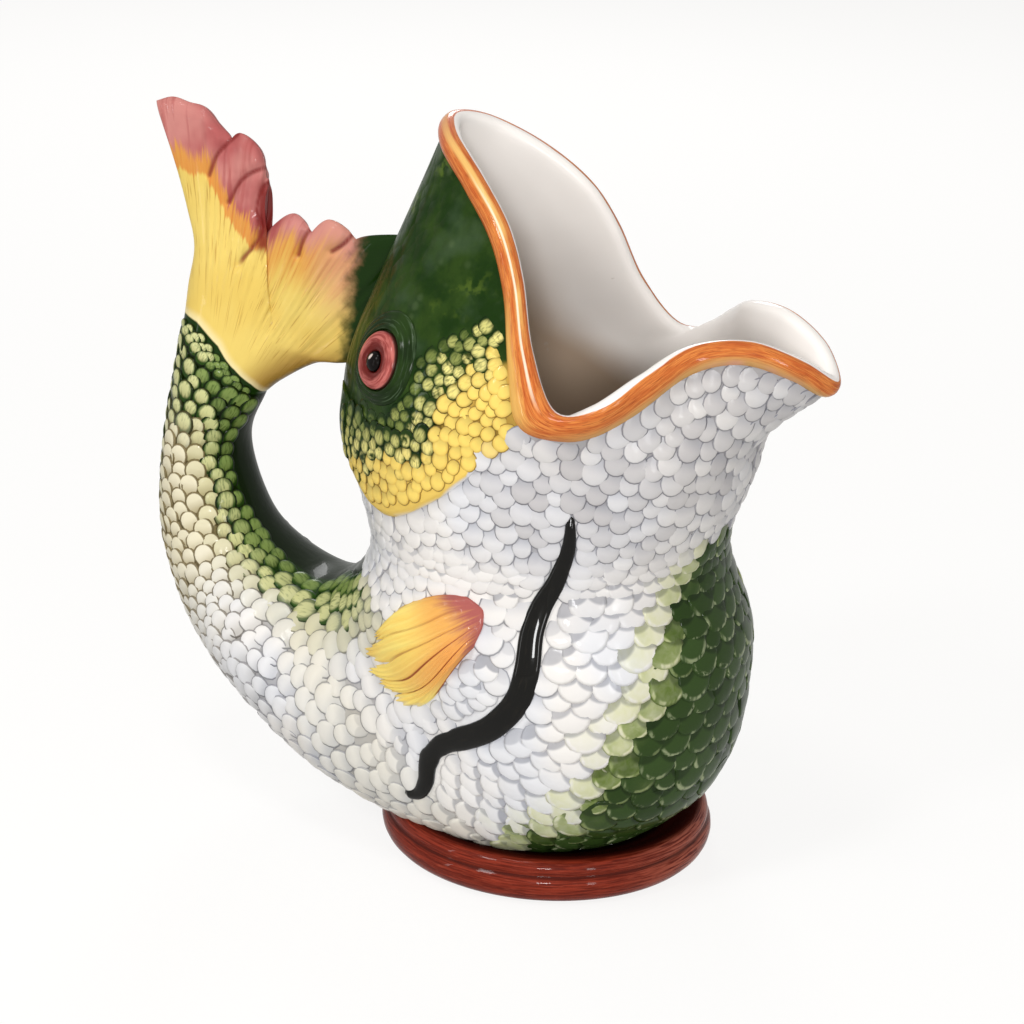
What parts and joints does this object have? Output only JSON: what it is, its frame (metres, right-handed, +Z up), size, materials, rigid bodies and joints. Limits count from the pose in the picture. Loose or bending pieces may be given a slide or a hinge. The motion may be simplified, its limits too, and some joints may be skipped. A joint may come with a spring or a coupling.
{
  "type": "gurgle jug",
  "caption": "Glazed earthenware jug shaped as a leaping fish: gaping mouth with a drooping spout, scaled belly on a round foot, and a hollow tail curled up as handle and gurgling air chamber.",
  "frame": {"origin": "middle of the round foot, on the table", "axes": "+X towards the pouring spout, +Y towards the fish's left side, +Z up"},
  "size_m": [0.234, 0.1226, 0.2345],
  "materials": {
    "foot_glaze": "glossy red-brown glaze, brushed round",
    "body_glaze": "glossy white glaze with blue-grey in the scale gaps, green down the front",
    "head_glaze": "glossy dark green glaze with yellow-green flecks",
    "lip_glaze": "glossy orange glaze with brown brush strokes",
    "tail_glaze": "glossy white to olive green glaze",
    "fin_glaze": "glossy yellow glaze with a pink-red margin",
    "gill_glaze": "glossy yellow glaze with green flecks",
    "brow_glaze": "glossy dark green glaze",
    "iris_glaze": "glossy rose glaze",
    "pupil_glaze": "glossy black glaze",
    "pectoral_glaze": "glossy yellow glaze with a pink-red root",
    "line_glaze": "glossy black-green glaze"
  },
  "bodies": {
    "root": {"foot_ring": "foot_glaze", "body_wall": "body_glaze", "head_shell": "head_glaze", "lip_roll": "lip_glaze", "tail_tube": "tail_glaze", "tail_fin": "fin_glaze", "gill_cover_right": "gill_glaze", "gill_cover_left": "gill_glaze", "brow_ring_right": "brow_glaze", "brow_ring_left": "brow_glaze", "iris_right": "iris_glaze", "iris_left": "iris_glaze", "pupil_right": "pupil_glaze", "pupil_left": "pupil_glaze", "pectoral_fin_right": "pectoral_glaze", "pectoral_fin_left": "pectoral_glaze", "lateral_line_right": "line_glaze", "lateral_line_left": "line_glaze"}
  },
  "joints": []
}
